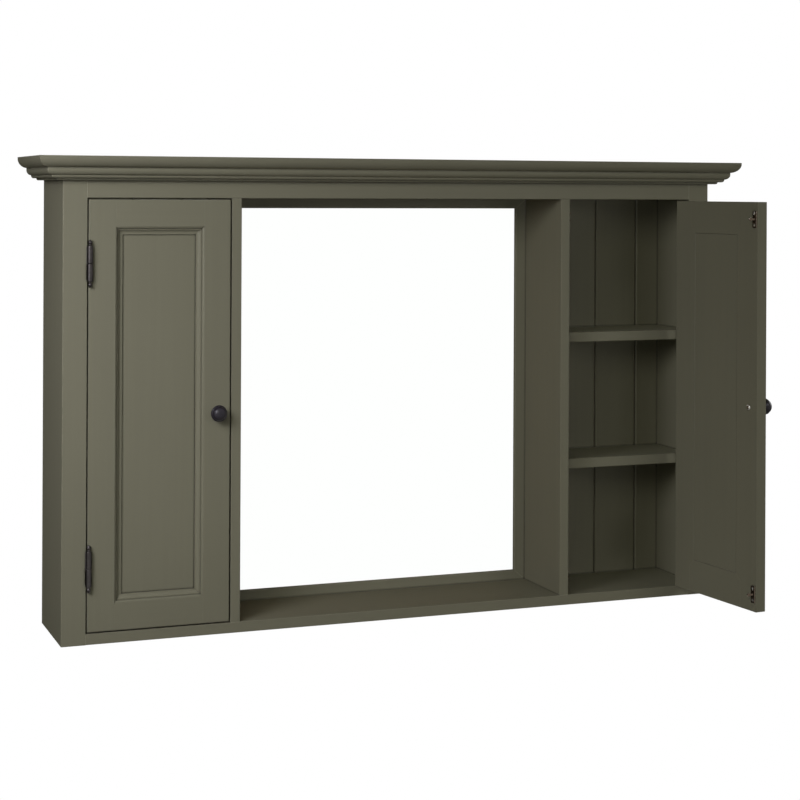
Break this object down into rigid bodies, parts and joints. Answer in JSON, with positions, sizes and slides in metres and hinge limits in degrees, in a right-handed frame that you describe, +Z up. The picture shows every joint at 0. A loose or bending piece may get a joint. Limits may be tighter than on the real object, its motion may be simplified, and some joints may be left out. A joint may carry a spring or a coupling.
{
  "type": "wall mirror cabinet",
  "caption": "Wide painted wooden wall cabinet with a moulded cornice, an open mirror bay over a ledge, and a panelled door with shelves behind it at each side.",
  "frame": {"origin": "on the wall, midway between the two hanger holes", "axes": "+X to the right along the cabinet's width as seen from the room, +Y into the wall, +Z up"},
  "size_m": [1.29, 0.4254, 0.8005],
  "materials": {
    "painted_wood": "olive green paint, satin",
    "bare_wood": "unpainted softwood and plywood",
    "silvered_glass": "polished",
    "dark_iron": "blackened, satin",
    "black_iron": "black lacquer, satin",
    "bronzed_steel": "bronzed",
    "steel": "zinc plated"
  },
  "bodies": {
    "cabinet": {"back_board_1_left": "painted_wood", "back_board_1_right": "painted_wood", "back_board_2_left": "painted_wood", "back_board_2_right": "painted_wood", "back_board_3_left": "painted_wood", "back_board_3_right": "painted_wood", "back_board_4_left": "painted_wood", "back_board_4_right": "painted_wood", "bottom_board": "painted_wood", "catch_clips": "bronzed_steel", "cornice_bed_front": "painted_wood", "cornice_bed_left": "painted_wood", "cornice_bed_right": "painted_wood", "cornice_cap": "painted_wood", "face_stile_left": "painted_wood", "face_stile_right": "painted_wood", "frieze_rail": "painted_wood", "hanger_plates": "steel", "hanging_rail": "bare_wood", "hinge_frame_leaves": "dark_iron", "hinge_pins": "dark_iron", "mirror_backing": "bare_wood", "mirror_bead_bottom": "painted_wood", "mirror_bead_left": "painted_wood", "mirror_bead_right": "painted_wood", "mirror_bead_top": "painted_wood", "mirror_glass": "silvered_glass", "partition_left": "painted_wood", "partition_right": "painted_wood", "shelf_lower_left": "painted_wood", "shelf_lower_right": "painted_wood", "shelf_upper_left": "painted_wood", "shelf_upper_right": "painted_wood", "side_panel_left": "painted_wood", "side_panel_right": "painted_wood", "top_board": "painted_wood", "wood_screws": "steel"},
    "left_door": {"left_door_bottom_rail": "painted_wood", "left_door_hinge_leaves": "dark_iron", "left_door_hinge_stile": "painted_wood", "left_door_knob": "black_iron", "left_door_knob_screw": "steel", "left_door_knob_stile": "painted_wood", "left_door_panel": "painted_wood", "left_door_screws": "steel", "left_door_strikes": "bronzed_steel", "left_door_top_rail": "painted_wood"},
    "right_door": {"right_door_bottom_rail": "painted_wood", "right_door_hinge_leaves": "dark_iron", "right_door_hinge_stile": "painted_wood", "right_door_knob": "black_iron", "right_door_knob_screw": "steel", "right_door_knob_stile": "painted_wood", "right_door_panel": "painted_wood", "right_door_screws": "steel", "right_door_strikes": "bronzed_steel", "right_door_top_rail": "painted_wood"}
  },
  "joints": [
    {"name": "left_door_hinge", "type": "hinge", "parent": "cabinet", "child": "left_door", "pos_m": [-0.5563, -0.1852, 0], "axis": [0, 0, -1], "range_deg": [0, 180]},
    {"name": "right_door_hinge", "type": "hinge", "parent": "cabinet", "child": "right_door", "pos_m": [0.5563, -0.1852, 0], "axis": [0, 0, 1], "range_deg": [-95.7, 84.3]}
  ]
}
